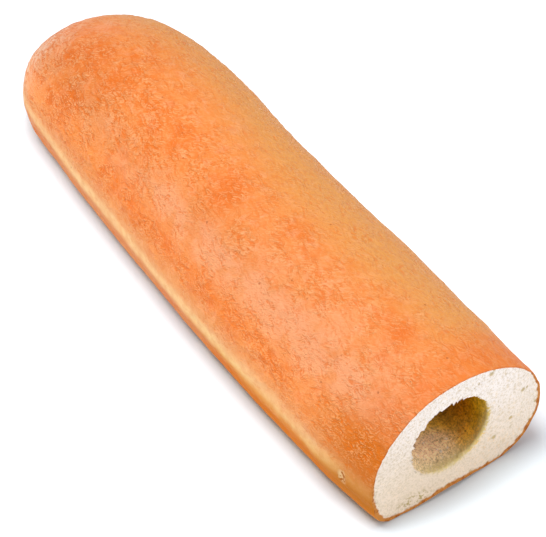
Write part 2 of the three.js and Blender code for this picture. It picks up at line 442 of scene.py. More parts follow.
def hole_point(turn, radius, depth):
    """Point of the hole at an angle, a radius and a depth below the leaning cut."""
    y = HOLE_SIDE + radius * np.cos(turn)
    z = HOLE_HEIGHT + radius * np.sin(turn)
    return np.stack([CUT_X - y * math.tan(CUT_ANGLE) - depth, y, z], -1)


def crumb_relief(place, pore_depth):
    """Height of torn crumb: grain less round pores of two sizes, each kept in some cells only."""
    grain = 0.22 * noise(place, 0.9, 31) + 0.16 * noise(place, 2.1, 32)
    near_small, small = scattered(place, 1.25, 33)
    near_large, large = scattered(place, 3.4, 38)
    pores = (small < 0.5) * (1 - ramp(near_small * 1.25, 0.1, 0.5))
    pits = (large < 0.3) * (1 - ramp(near_large * 3.4, 0.2, 0.75))
    return pore_depth * (grain - 0.7 * pores - 1.2 * pits)


def cut_face(edge, shape):
    """Cut face from the skin's edge to the lip: rays towards the hole's centre, denser near the crust.

    Gives its points, their distances in from the crust and out from the lip, and the turn of each ray.
    """
    turn = np.arctan2(edge[:, 2] - HOLE_HEIGHT, edge[:, 1] - HOLE_SIDE)
    lip = lip_radius(turn)
    radius = shape.hole_radius * MM - tear(turn, 0.0, shape.tear_depth * MM) + lip
    full = np.hypot(edge[:, 2] - HOLE_HEIGHT, edge[:, 1] - HOLE_SIDE)
    share = np.linspace(0, 1, FACE_ROWS) ** 1.25
    inset = CUT_EDGE + share[:, None] * (full - CUT_EDGE - radius)
    points = hole_point(turn, full - inset, 0.0)
    calm = ramp(inset, CUT_EDGE, 4 * CUT_EDGE)
    relief = calm * crumb_relief(points, shape.pore_depth * MM)
    points[..., 0] += relief + cut_bulge(points[..., 1], points[..., 2])
    return points, inset, full - inset - radius, turn


def lip_radius(turn):
    """Radius of the mouth's lip: soft at the lower right, nearly sharp where it is torn."""
    return LIP_SHARP + LIP_SOFT * lip_softness(turn)


def lip_softness(turn):
    """How worn the mouth's lip is, from 0 where it is torn to 1 at its lower right."""
    return ramp(np.cos(turn - LIP_SOFT_TURN), -0.35, 0.8)


def hole_wall(turn, shape):
    """Lip as a quarter circle, then the wall down to its rounded end, with crumb relief across it.

    Gives its points, with the depth below the cut and the way walked in from the face at each.
    """
    lip = lip_radius(turn)
    bend = (np.arange(1, LIP_ROWS + 1) / LIP_ROWS * np.pi / 2)[:, None]
    total = shape.hole_depth * MM
    share = np.arange(1, WALL_ROWS + 1)[:, None] / (WALL_ROWS + 0.4)
    growth = 0.16 * share + 0.84 * share**4
    depth = np.concatenate([lip * (1 - np.cos(bend)), lip + (total - lip) * growth])
    flare = np.concatenate([lip * (1 - np.sin(bend)), np.zeros((WALL_ROWS, len(turn)))])
    closing = rounding(total - depth, HOLE_TIP_REACH, 2)
    narrow = ramp(np.cos(turn - HOLE_NARROWING_TURN), 0.0, 0.8)
    narrow = HOLE_NARROWING * narrow * (1 - np.exp(-depth / HOLE_NARROWING_REACH))
    bore = (shape.hole_radius * MM - narrow) * closing
    radius = bore - tear(turn, depth, shape.tear_depth * MM) + flare
    points = hole_point(turn, radius, depth)
    rough = 1.3 * crumb_relief(points, shape.pore_depth * MM) * closing
    points = hole_point(turn, radius - rough, depth)
    walked = np.concatenate([lip * bend, lip * (np.pi / 2 - 1) + depth[LIP_ROWS:]])
    return points, depth, walked


def crumb_marks(face, turn, inset, away, depth, walked):
    """Masks and distances on the cut face and down the hole, by turn, depth and way in over the lip."""
    way = np.concatenate([-away, walked])
    worn = ramp(np.cos(turn - LIP_WORN_TURN), -0.1, 0.9)
    speckled = hump(face[..., 1], SPECKLED_SIDE, 4.5, 4.5)
    speckled = speckled * hump(face[..., 2], SPECKLED_HEIGHT, 1.5, 1.8)
    marks = {
        "rim": np.concatenate([inset, np.full_like(depth, FAR_FROM_RIM)]),
        "depth": np.concatenate([np.zeros_like(inset), depth]),
        "inside": ramp(way, 0.3 - 1.75 * worn, 0.7 + 1.25 * worn),
        # The lip mask places painted shade on the rounded lower lip of the mouth
        "lip": worn * hump(way, 0.5, 0.7, 1.6),
        "speckled": np.concatenate([speckled, np.zeros_like(depth)]),
    }
    for name, (centre, low, high) in TURN_MASKS.items():
        mask = ramp(np.cos(turn - math.radians(centre)), low, high)
        marks[name] = np.broadcast_to(mask, way.shape)
    return marks


def roll_surface(shape):
    """Whole closed surface: rows of the skin, the face and the hole, and the points that close its ends.

    Gives points (rows, columns, 3), the two ends, the masks by name, the row where the crumb starts, and
    the box of the skin before its bulges and relief.
    """
    py, pz = full_section(COLUMNS)
    x = stations()[:, None]
    skin = smooth_skin(x, py, pz, shape.swell * MM)
    plain_box = skin.min((0, 1)), skin.max((0, 1)) + np.array([CUT_EDGE, 0, 0])
    flank = np.where(py < 0, bulges(x, LEFT_BULGES), bulges(x, RIGHT_BULGES))
    skin[..., 1] += flank * py / HALF_WIDTH * ramp(x, TIP_X, TIP_X + 8)
    skin[..., 0] += cut_bulge(skin[..., 1], skin[..., 2]) * cut_fade(x, CUT_BULGE_REACH)
    marks = skin_marks(x, py, pz, skin)
    relief = skin_relief(skin, marks["wrinkled"], shape.wrinkle_depth * MM) - SCAR_DEPTH * marks["scar"]
    calm = ramp(pz, 1.0, 5.0) * ramp(x, TIP_X, TIP_X + 3)
    skin = skin + grid_normals(skin) * (relief * calm)[..., None]
    skin[..., 2] = np.maximum(skin[..., 2], 0) + tray_dimples(skin, pz)
    face, inset, away, turn = cut_face(skin[-1], shape)
    wall, depth, walked = hole_wall(turn, shape)
    points = np.concatenate([skin, face, wall])
    tip = skin[0].mean(0) + np.array([TIP_X - stations()[0], 0, 0])
    end = hole_point(0.0, 0.0, shape.hole_depth * MM)
    after = len(face) + len(wall)
    marks = {name: np.concatenate([mask, np.repeat(mask[-1:], after, 0)]) for name, mask in marks.items()}
    outside = np.zeros_like(skin[..., 0])
    for name, mask in crumb_marks(face, turn, inset, away, depth, walked).items():
        marks[name] = np.concatenate([outside, mask])
    return points, tip, end, marks, len(skin), plain_box


def fitted(points, box, shape):
    """Metres in the row's frame: the plain box is moved and sized to the asked one, resting on Z 0."""
    low, high = box
    size = np.array([shape.length, shape.width, shape.height])
    centre = (low + high) / 2
    centre[2] = low[2]
    return (points - centre) * size / (high - low)


def grid_faces(rows, columns):
    """Quads between neighbouring rows, and the triangle fans that close the two ends."""
    index = np.arange(rows * columns).reshape(rows, columns)
    nxt = np.roll(index, -1, 1)
    quads = np.stack([index[:-1], nxt[:-1], nxt[1:], index[1:]], -1).reshape(-1, 4)
    tip = np.full(columns, rows * columns)
    first = np.stack([tip, nxt[0], index[0]], -1)
    last = np.stack([tip + 1, index[-1], nxt[-1]], -1)
    return quads, np.concatenate([first, last])


def roll_mesh(shape):
    """Mesh of the roll, with its masks as point attributes and its faces marked for two materials, crust
    and crumb.
    """
    points, tip, end, marks, crumb_row, plain_box = roll_surface(shape)
    rows, columns = points.shape[:2]
    flat = np.concatenate([points.reshape(-1, 3), tip[None], end[None]])
    quads, fans = grid_faces(rows, columns)
    mesh = bpy.data.meshes.new("roll_surface")
    mesh.from_pydata(fitted(flat, plain_box, shape).tolist(), [], quads.tolist() + fans.tolist())
    quad_row = np.repeat(np.arange(rows - 1), columns)
    is_crumb = np.concatenate([quad_row >= crumb_row, np.arange(2 * columns) >= columns])
    mesh.polygons.foreach_set("material_index", is_crumb.astype(np.int32))
    mesh.polygons.foreach_set("use_smooth", np.ones(len(mesh.polygons), bool))
    for name, mask in marks.items():
        values = np.concatenate([mask.ravel(), [mask[0].mean(), mask[-1].mean()]])
        layer = mesh.attributes.new(name, "FLOAT", "POINT")
        layer.data.foreach_set("value", values.astype(np.float32))
    mesh.update()
    return mesh


class Wiring:
    """Adds nodes to a tree. An input is given a value, or another node's output to link."""

    def __init__(self, tree):
        self.tree = tree

    def add(self, kind, inputs=None, **settings):
        node = self.tree.nodes.new(kind)
        for name, value in settings.items():
            setattr(node, name, value)
        for key, value in (inputs or {}).items():
            self.feed(node.inputs[key], value)
        return node

    def feed(self, socket, value):
        if isinstance(value, bpy.types.NodeSocket):
            self.tree.links.new(value, socket)
        elif socket.type == "RGBA":
            socket.default_value = (*value, 1.0)
        else:
            socket.default_value = value

    def math(self, operation, first, second=0.0):
        return self.add("ShaderNodeMath", {0: first, 1: second}, operation=operation).outputs[0]

    def times(self, first, second):
        return self.math("MULTIPLY", first, second)

    def between(self, value, low, high, start=0.0, stop=1.0):
        """Smooth step from start at low to stop at high."""
        inputs = {"Value": value, "From Min": low, "From Max": high, "To Min": start, "To Max": stop}
        return self.add("ShaderNodeMapRange", inputs, interpolation_type="SMOOTHSTEP").outputs[0]

    def spread(self, mask, start, stop):
        """Smooth step from start where the mask is 0 to stop where it is 1."""
        return self.between(mask, 0.0, 1.0, start, stop)

    def blend(self, factor, first, second):
        return self.add("ShaderNodeMix", {0: factor, 6: first, 7: second}, data_type="RGBA").outputs[2]

    def vector(self, operation, first, second):
        return self.add("ShaderNodeVectorMath", {0: first, 1: second}, operation=operation).outputs[0]

    def tint(self, base, mask, strength, colour):
        return self.blend(self.times(mask, strength), base, colour)

    def scaled(self, vector, factor):
        return self.add("ShaderNodeVectorMath", {0: vector, "Scale": factor}, operation="SCALE").outputs[0]

    def noise(self, place, size):
        inputs = {"Vector": place, "Scale": 1 / size, "Detail": 1.0}
        return self.add("ShaderNodeTexNoise", inputs).outputs

    def bump(self, height, strength, distance):
        inputs = {"Height": height, "Strength": strength, "Distance": distance}
        return self.add("ShaderNodeBump", inputs).outputs[0]

    def mask(self, name):
        return self.add("ShaderNodeAttribute", attribute_name=name).outputs["Fac"]

    def millimetres(self):
        place = self.add("ShaderNodeTexCoord").outputs["Object"]
        return self.scaled(place, MM)

    def group(self, tree, **inputs):
        node = self.add("ShaderNodeGroup", node_tree=tree)
        for name, value in inputs.items():
            self.feed(node.inputs[name.replace("_", " ").capitalize()], value)
        return node.outputs[0]


def new_group(name, inputs, output):
    """Empty shader node group with named sockets. Gives its tree, wiring, inputs and outputs."""
    tree = bpy.data.node_groups.new(name, "ShaderNodeTree")
    for label, kind in inputs.items():
        tree.interface.new_socket(name=label, in_out="INPUT", socket_type=kind)
    tree.interface.new_socket(name=output, in_out="OUTPUT", socket_type="NodeSocketFloat")
    wire = Wiring(tree)
    entry = wire.add("NodeGroupInput")
    leave = wire.add("NodeGroupOutput")
    return tree, wire, entry.outputs, leave.inputs


def mottle_group():
    """Cloudy mask: noise of a given size in millimetres, stretched between two limits."""
    sockets = {"Place": "NodeSocketVector", "Size": "NodeSocketFloat", "Detail": "NodeSocketFloat"}
    sockets |= {"Low": "NodeSocketFloat", "High": "NodeSocketFloat"}
    tree, wire, given, result = new_group("Mottle", sockets, "Mask")
    scale = wire.math("DIVIDE", 1.0, given["Size"])
    inputs = {"Vector": given["Place"], "Scale": scale, "Detail": given["Detail"], "Roughness": 0.55}
    cloud = wire.add("ShaderNodeTexNoise", inputs).outputs["Fac"]
    wire.feed(result["Mask"], wire.between(cloud, given["Low"], given["High"]))
    return tree


def specks_group():
    """Round specks: one to a cell of a given spacing in millimetres, kept in a share of the cells."""
    sockets = {"Place": "NodeSocketVector", "Spacing": "NodeSocketFloat", "Radius": "NodeSocketFloat"}
    sockets |= {"Share": "NodeSocketFloat"}
    tree, wire, given, result = new_group("Specks", sockets, "Mask")
    scale = wire.math("DIVIDE", 1.0, given["Spacing"])
    cells = wire.add("ShaderNodeTexVoronoi", {"Vector": given["Place"], "Scale": scale})
    number = wire.add("ShaderNodeSeparateColor", {0: cells.outputs["Color"]})
    size = wire.times(given["Radius"], wire.math("ADD", 0.6, number.outputs[1]))
    distance = wire.times(cells.outputs["Distance"], given["Spacing"])
    inner = wire.times(size, 0.35)
    dot = wire.between(distance, inner, size, 1.0, 0.0)
    kept = wire.math("LESS_THAN", number.outputs[0], given["Share"])
    wire.feed(result["Mask"], wire.times(dot, kept))
    return tree


def bent_place(wire, place, size, amount, seed):
    """Place pushed about by noise of a given size, so that straight lines on it curl."""
    shifted = wire.vector("ADD", place, (seed, seed, seed))
    push = wire.noise(shifted, size)["Color"]
    centred = wire.vector("SUBTRACT", push, (0.5, 0.5, 0.5))
    return wire.vector("ADD", shifted, wire.scaled(centred, amount))


def curls(wire, place, size, width, seed):
    """Thin curly lines: where noise on a bent place crosses its middle value."""
    bent = bent_place(wire, place, 1.4 * size, 2.2 * size, seed)
    level = wire.noise(bent, size)["Fac"]
    off = wire.math("ABSOLUTE", wire.math("SUBTRACT", level, 0.5))
    return wire.between(off, 0.2 * width, width, 1.0, 0.0)


def folds(wire, place, turn, length, width, seed):
    """Short strokes from -1 to 1: noise on a bent place, drawn out along one direction about Z."""
    bent = bent_place(wire, place, 1.5 * length, 1.2 * length, seed)
    stretch = {"Vector": bent, "Rotation": (0.0, 0.0, turn), "Scale": (length, width, width)}
    drawn = wire.add("ShaderNodeMapping", stretch, vector_type="TEXTURE").outputs[0]
    level = wire.noise(drawn, 1.0)["Fac"]
    return wire.between(level, 0.33, 0.67, -1.0, 1.0)


def blank_material(name, roughness, sheen):
    """New material with a Principled shader. Gives the material, its wiring and the shader node."""
    material = bpy.data.materials.new(name)
    material.use_nodes = True
    shader = next(node for node in material.node_tree.nodes if node.type == "BSDF_PRINCIPLED")
    shader.inputs["Roughness"].default_value = roughness
    shader.inputs["Specular IOR Level"].default_value = sheen
    return material, Wiring(material.node_tree), shader


def crust_material(looks, mottle, specks):
    """Baked skin: orange clouded with deeper and peach patches, tan on the far side, with a pale band low
    on each flank, pale curly wrinkles, dark pinholes and a few floury dots. It also paints light and
    shade:
    a peach sheen band on the dome, brightened flanks and left foot, pale ridges and deep valleys on the
    folds."""
    material, wire, shader = blank_material("baked_crust", looks.crust_roughness, CRUST_SHEEN)
    place = wire.millimetres()
    clouds = partial(wire.group, mottle, place=place)
    dots = partial(wire.group, specks, place=place)
    wrinkled = wire.mask("wrinkled")

    broad = clouds(size=13.0, detail=3.0, low=0.42, high=0.66)
    patchy = clouds(size=4.5, detail=4.0, low=0.43, high=0.6)
    fleck = clouds(size=1.0, detail=2.0, low=0.46, high=0.68)
    spread = wire.spread(broad, 0.12, 0.7)
    deep = wire.times(spread, wire.math("ADD", patchy, 0.2))
    skin = wire.blend(deep, looks.crust, looks.deep)
    pale = clouds(size=3.1, detail=4.0, low=0.5, high=0.68)
    skin = wire.tint(skin, pale, 0.5, looks.peach)

    peach_sheen_clouds = clouds(size=7.0, detail=3.0, low=0.36, high=0.6)
    # Painted highlight: the clouded peach band on the dome paints the lamps' soft sheen
    peach = wire.times(wire.mask("peach"), wire.math("ADD", 0.4, peach_sheen_clouds))
    skin = wire.blend(wire.math("MINIMUM", peach, 1.0), skin, looks.peach)
    freckled = wire.tint(looks.tan, fleck, 0.6, looks.under)
    skin = wire.blend(wire.mask("tan"), skin, freckled)
    baked = wire.times(wire.mask("deep"), wire.spread(patchy, 0.85, 1.0))
    skin = wire.blend(baked, skin, looks.deep)
    skin = wire.blend(wire.mask("toast"), skin, looks.toast)
    tray = wire.tint(looks.under, patchy, 0.55, looks.toast)
    tray = wire.tint(tray, fleck, 0.4, looks.peach)
    skin = wire.blend(wire.mask("under"), skin, tray)

    ragged = clouds(size=2.4, detail=3.0, low=0.3, high=0.7)
    streak = wire.spread(ragged, 0.7, 1.0)
    band = wire.times(wire.mask("band"), streak)
    skin = wire.blend(band, skin, looks.band)

    fine = folds(wire, place, DOME_FOLD_TURN, 1.7, 0.34, 3.0)
    coarse = folds(wire, place, FLANK_FOLD_TURN, 3.0, 0.85, 17.0)
    ridge = wire.between(wire.math("ABSOLUTE", coarse), 0.0, 0.6, 1.0, -0.4)
    fold = wire.math("ADD", wire.times(fine, 0.55), wire.times(coarse, 0.45))
    fold = wire.math("ADD", fold, wire.times(ridge, 0.4))
    gathered = clouds(size=6.0, detail=2.0, low=0.35, high=0.62)
    wrinkled = wire.times(wrinkled, wire.spread(gathered, 0.55, 1.2))
    fold = wire.times(fold, wrinkled)
    shown = clouds(size=2.8, detail=1.0, low=0.45, high=0.6)
    curl = wire.times(curls(wire, place, 2.2, 0.02, 29.0), shown)
    curl = wire.times(curl, wrinkled)
    # Painted highlight and shade on the folds: the pale tint on raised folds is partly the skin's own pale
    # lines and partly painted highlight, and the deep tint in sunk folds is painted shade
    raised = wire.math("MAXIMUM", fold, wire.times(curl, 0.75))
    sunk = wire.math("MAXIMUM", wire.times(fold, -1.0), 0.0)
    skin = wire.tint(skin, raised, 0.65, looks.wrinkle)
    floury = wire.times(wire.between(coarse, -0.3, 0.8, 0.2, 0.8), wire.mask("creased"))
    skin = wire.blend(floury, skin, looks.crease)
    skin = wire.tint(skin, sunk, 0.66, looks.deep)

    pinholes = dots(spacing=3.4, radius=0.26, share=0.45)
    skin = wire.tint(skin, pinholes, 0.55, looks.pinhole)
    flour = dots(spacing=11.0, radius=0.3, share=0.12)
    skin = wire.tint(skin, flour, 0.7, looks.crumb)
    scar = wire.mask("scar")
    flecks = clouds(size=0.9, detail=2.0, low=0.42, high=0.58)
    light_flecks = wire.times(wire.between(scar, 0.1, 0.6), flecks)
    dark_flecks = wire.times(wire.between(scar, 0.15, 0.6), wire.math("SUBTRACT", 1.0, flecks))
    skin = wire.tint(skin, light_flecks, 0.6, looks.crease)
    skin = wire.tint(skin, dark_flecks, 0.85, looks.pinhole)
    # Painted light: a gain brightens the flanks' colours
    gain = wire.blend(wire.mask("side"), PLAIN_GAIN, looks.side_painted_light_gain)
    # Painted light: a gain brightens the foot on the left, where the dull mask lies
    gain = wire.blend(wire.mask("dull"), gain, looks.foot_painted_light_gain)
    wire.feed(shader.inputs["Base Color"], wire.vector("MULTIPLY", skin, gain))

    dull = wire.math("MAXIMUM", wire.mask("dull"), wire.mask("toast"))
    sheen = wire.spread(dull, CRUST_SHEEN, DULL_SHEEN)
    wire.feed(shader.inputs["Specular IOR Level"], sheen)
    grain = clouds(size=0.8, detail=2.0, low=0.2, high=0.8)
    height = wire.math("ADD", wire.math("ADD", fold, curl), wire.times(grain, 0.5))
    height = wire.math("SUBTRACT", height, wire.times(pinholes, 2.0))
    wire.feed(shader.inputs["Normal"], wire.bump(height, 0.6, looks.wrinkle_bump))
    shine = wire.spread(grain, looks.crust_roughness - 0.06, looks.crust_roughness + 0.1)
    wire.feed(shader.inputs["Roughness"], shine)
    return material


def crumb_material(looks, mottle, specks):
    """Cut bread: cream with tan pores and olive pits, a brown line at the crust, toasted in the hole.
    It also paints shade deep in the hole, on its shaded side and on its lower lip, and light on its lower
    and lit wall and on the face's top.
    """
    material, wire, shader = blank_material("bread_crumb", looks.crumb_roughness, CRUMB_SHEEN)
    place = wire.millimetres()
    clouds = partial(wire.group, mottle, place=place)
    dots = partial(wire.group, specks, place=place)
    rim = wire.mask("rim")
    depth = wire.mask("depth")

    opened = wire.mask("open")
    cloud = clouds(size=3.0, detail=3.0, low=0.35, high=0.7)
    # Partly painted light: the face is whiter towards its top and darker, creamier towards its bottom,
    # partly also crumb that the knife pressed smooth
    bread = wire.blend(wire.mask("creamy"), looks.smooth_crumb, looks.crumb)
    bread = wire.tint(bread, cloud, 0.12, looks.pore)
    fine = clouds(size=0.5, detail=2.0, low=0.46, high=0.64)
    pores = dots(spacing=1.0, radius=0.36, share=0.55)
    pores = wire.math("MAXIMUM", wire.times(fine, 0.8), pores)
    pores = wire.times(pores, wire.spread(opened, 1.1, 1.0))
    bread = wire.tint(bread, pores, 0.55, looks.pore)
    pits = dots(spacing=2.6, radius=0.6, share=0.4)
    pits = wire.times(pits, opened)
    bread = wire.tint(bread, pits, 0.7, looks.pit)

    # Painted light on the hole's lower wall: its painted shade starts further in, and a gain brightens it
    # from a few millimetres in
    lower = wire.mask("lower")
    sunk = wire.math("SUBTRACT", depth, wire.times(lower, PAINTED_LIGHT_FLOOR_REACH))
    # Painted shade, partly toasting: the wall's colour deepens further in and on its shaded upper right,
    # and turns olive beside the mouth on that side
    deeper = wire.math("MAXIMUM", wire.mask("shaded"), wire.between(sunk, 7.0, 19.0))
    shallow = wire.blend(wire.between(sunk, 3.0, 8.0), looks.hole, looks.hole_mid)
    inside = wire.blend(deeper, shallow, looks.hole_deep)
    mouth = wire.times(wire.mask("shaded"), wire.between(depth, 1.0, 9.0, 0.85, 0.0))
    inside = wire.blend(mouth, inside, looks.olive)
    # Painted light: a gain brightens the wall just inside the mouth at its lower right
    lit = wire.times(wire.mask("lit"), wire.between(depth, 3.0, 7.0, 1.0, 0.0))
    gain = wire.blend(lit, PLAIN_GAIN, LIT_GAIN)
    # Painted shade: a gain darkens the wall at the mouth's right from about 1 mm in
    dusky = wire.times(wire.mask("dusky"), wire.between(depth, 1.0, 3.0))
    gain = wire.blend(dusky, gain, DUSKY_GAIN)
    gain = wire.blend(wire.times(lower, wire.between(depth, 2.0, 5.0)), gain, LOWER_PAINTED_LIGHT_GAIN)
    inside = wire.vector("MULTIPLY", inside, gain)
    inside = wire.vector("MINIMUM", inside, PALEST_WALL)
    # Painted shade: the wall darkens by a quarter from about 10 mm in
    inside = wire.scaled(inside, wire.between(sunk, 8.5, 11.5, 1.0, 0.75))
    toasted = clouds(size=0.5, detail=3.0, low=0.32, high=0.68)
    inside = wire.scaled(inside, wire.spread(toasted, 1.12, 0.67))
    uneven = clouds(size=1.5, detail=2.0, low=0.35, high=0.68)
    inside = wire.scaled(inside, wire.spread(uneven, 1.04, 0.82))
    dark_pits = dots(spacing=1.5, radius=0.28, share=0.5)
    inside = wire.scaled(inside, wire.spread(dark_pits, 1.0, 0.55))
    crumbs = dots(spacing=1.0, radius=0.32, share=0.5)
    crumbs = wire.times(crumbs, wire.between(deeper, 0.1, 0.6, 0.45, 0.0))
    crumbs = wire.times(crumbs, wire.between(sunk, 2.5, 7.0, 1.0, 0.0))
    inside = wire.blend(crumbs, inside, looks.smooth_crumb)
    torn = clouds(size=0.8, detail=2.0, low=0.3, high=0.7)
    entered = wire.math("ADD", wire.mask("inside"), wire.spread(torn, -0.28, 0.28))
    bread = wire.blend(wire.between(entered, 0.1, 0.8), bread, inside)
    # Painted shade: the rounded lower lip of the mouth is tinted olive tan
    lip = wire.times(wire.mask("lip"), wire.spread(torn, 0.6, 1.0))
    bread = wire.blend(lip, bread, looks.lip)

    browned = wire.mask("browned")
    ragged = clouds(size=2.6, detail=3.0, low=0.3, high=0.75)
    thick = wire.spread(ragged, 1.3, 2.1)
    reach = wire.math("ADD", 0.05, wire.times(browned, thick))
    crust_line = wire.between(wire.math("DIVIDE", rim, reach), 0.65, 1.0, 1.0, 0.0)
    scorched = dots(spacing=1.5, radius=0.45, share=0.6)
    near_rim = wire.times(browned, wire.between(rim, 0.8, 3.0, 1.0, 0.0))
    scorched = wire.times(scorched, near_rim)
    bits = clouds(size=0.7, detail=2.0, low=0.48, high=0.58)
    scorched = wire.math("MAXIMUM", scorched, wire.times(bits, wire.mask("speckled")))
    bread = wire.blend(scorched, bread, looks.pit)
    charred = clouds(size=1.3, detail=2.0, low=0.48, high=0.64)
    edge = wire.tint(looks.crust_line, charred, 0.65, looks.pinhole)
    bread = wire.blend(crust_line, bread, edge)
    wire.feed(shader.inputs["Base Color"], bread)

    grain = clouds(size=0.5, detail=2.0, low=0.2, high=0.8)
    height = wire.math("SUBTRACT", grain, wire.math("MAXIMUM", pores, pits))
    wire.feed(shader.inputs["Normal"], wire.bump(height, 0.5, looks.pore_bump))
    return material


def number_property(label, text, default, **kind):
    return bpy.props.FloatProperty(name=label, description=text, default=default, **kind)


def vector_property(label, text, default, **kind):
    return bpy.props.FloatVectorProperty(name=label, description=text, default=default, **kind)


size_property = partial(number_property, min=0.0, precision=4, unit="LENGTH", subtype="DISTANCE")
power_property = partial(number_property, min=0.0, unit="POWER")
factor_property = partial(number_property, min=0.0, max=1.0, subtype="FACTOR")
angle_property = partial(number_property, subtype="ANGLE")
place_property = partial(vector_property, precision=5, subtype="TRANSLATION")
gain_property = partial(vector_property, min=0.0)
colour_property = partial(vector_property, min=0.0, max=1.0, size=3, subtype="COLOR")


class RollShape(bpy.types.PropertyGroup):
    """Sizes of the roll."""

    length: size_property("Length", "Length of the roll, from its tip to the cut", ROLL_SIZE.x)
    width: size_property("Width", "Width of the roll with its bow", ROLL_SIZE.y)
    height: size_property("Height", "Height of the roll's dome", ROLL_SIZE.z)
    hole_radius: size_property("Hole Radius", "Radius of the sausage hole", 0.0112)
    hole_depth: size_property("Hole Depth", "Depth of the sausage hole from the cut", 0.140)
    swell: size_property("Swell", "How far the skin swells and sinks", 0.0003)
    wrinkle_depth: size_property("Wrinkle Depth", "Height of the skin's wrinkles", 0.0002)
    pore_depth: size_property("Pore Depth", "Depth of the crumb's pores", 0.0003)
    tear_depth: size_property("Tear Depth", "How far the torn mouth stands into the hole", 0.0014)


class RollLooks(bpy.types.PropertyGroup):
    """Colours and finish of the roll."""

    crust: colour_property("Crust", "Main colour of the baked skin", (0.58, 0.185, 0.042))
    # Deep Crust also paints the shade in the sunk folds
    deep: colour_property("Deep Crust", "Stronger baked patches", (0.545, 0.115, 0.009))
    # Peach colours random soft patches and also the painted sheen band on the dome
    peach: colour_property("Peach", "Softer patches along the crest", (0.64, 0.255, 0.115))
    tan: colour_property("Tan", "Skin on the far side", (0.525, 0.225, 0.054))
    toast: colour_property("Toast", "Browner skin beside the cut", (0.42, 0.11, 0.011))
    under: colour_property("Underside", "Skin that lay on the tray", (0.46, 0.185, 0.06))
    band: colour_property("Pale Band", "Pale band low on the flanks", (0.70, 0.44, 0.22))
    # Wrinkle is the skin's pale lines and also the painted highlight on raised folds
    wrinkle: colour_property("Wrinkle", "Pale lines of the wrinkled skin", (0.64, 0.285, 0.12))
    crease: colour_property("Crease", "Floury creases near the tip", (0.65, 0.41, 0.28))
    pinhole: colour_property("Pinhole", "Small dark holes in the skin", (0.31, 0.067, 0.011))
    crumb: colour_property("Crumb", "Open bread of the cut", (0.82, 0.66, 0.52))
    # Smooth Crumb also paints the face's upper part lighter, as painted light
    smooth_crumb: colour_property("Smooth Crumb", "Bread the knife pressed smooth", (0.97, 0.87, 0.82))
    pore: colour_property("Pore", "Fine pores of the crumb", (0.62, 0.49, 0.33))
    pit: colour_property("Pit", "Larger pits of the crumb", (0.42, 0.29, 0.09))
    hole: colour_property("Hole", "Toasted wall of the hole", (1.0, 0.74, 0.43))
    hole_mid: colour_property("Hole Middle", "Wall of the hole a little way in", (1.0, 0.68, 0.12))
    # Painted shade, partly toasting: colour of the deep and shaded wall of the hole
    hole_deep: colour_property("Hole Patches", "Darker patches in the hole", (0.70, 0.28, 0.002))
    olive: colour_property("Olive Rim", "Shaded wall beside the mouth", (0.82, 0.50, 0.02))
    # Lip is the painted shade of the mouth's rounded lower lip
    lip: colour_property("Lip", "Worn lower lip of the hole", (0.68, 0.52, 0.22))
    crust_line: colour_property("Crust Line", "Edge of the crust on the cut", (0.54, 0.21, 0.048))
    crust_roughness: factor_property("Crust Roughness", "Roughness of the skin", 0.55)
    crumb_roughness: factor_property("Crumb Roughness", "Roughness of the crumb", 0.9)
    # Painted light: how much the flanks' colours are brightened
    side_painted_light_gain: gain_property("Side Gain", "How much stronger the flanks' colours are", (1.36, 1.30, 1.14))
    # Painted light: how much the left foot's colours are brightened
    foot_painted_light_gain: gain_property("Foot Gain", "How much stronger the foot's colours are", (1.40, 1.66, 1.25))
    wrinkle_bump: size_property("Wrinkle Bump", "Height of the finest wrinkles in the shading", 0.00016)
    pore_bump: size_property("Pore Bump", "Depth of the finest pores in the shading", 0.00015)


class RollStage(bpy.types.PropertyGroup):
    """Floor, light and camera."""

    floor: colour_property("Floor", "Plain pale floor", (0.70, 0.755, 0.80))
    floor_size: size_property("Floor Size", "Side of the square floor", 6.0)
    sky: number_property("Sky", "Strength of the even white light", 0.36, min=0.0)
    key_power: power_property("Key Power", "Power of the soft lamp above, on the left", 9.8)
    key_place: place_property("Key Place", "Where the soft lamp hangs", (-0.1, -0.22, 0.97))
    key_width: size_property("Key Width", "Width of the soft lamp", 0.3)
    key_length: size_property("Key Length", "Length of the soft lamp", 0.6)
    top_power: power_property("Top Power", "Power of the long lamp across the roll", 4.4)
    top_place: place_property("Top Place", "Where the long lamp hangs", (0.0, -0.05, 1.0))
    top_width: size_property("Top Width", "Width of the long lamp", 0.3)
    top_length: size_property("Top Length", "Length of the long lamp", 1.3)
    fill_power: power_property("Fill Power", "Power of the broad lamp before the cut", 3.0)
    fill_place: place_property("Fill Place", "Where the broad lamp stands", (0.75, 0.4, 0.35))
    fill_width: size_property("Fill Width", "Width of the broad lamp", 0.5)
    fill_length: size_property("Fill Length", "Height of the broad lamp", 0.5)
    azimuth: angle_property("Azimuth", "Camera's angle round the roll", math.radians(56.445))
    elevation: angle_property("Elevation", "Camera's angle above the floor", math.radians(45.135))
    distance: size_property("Distance", "From the camera to its aim", 0.583845)
    aim: place_property("Aim", "Point at the picture's centre", (0.012337, 0.001744, 0.007012))
    lens: number_property("Lens", "Focal length on a 36 mm sensor", 151.93, min=1.0, unit="CAMERA")


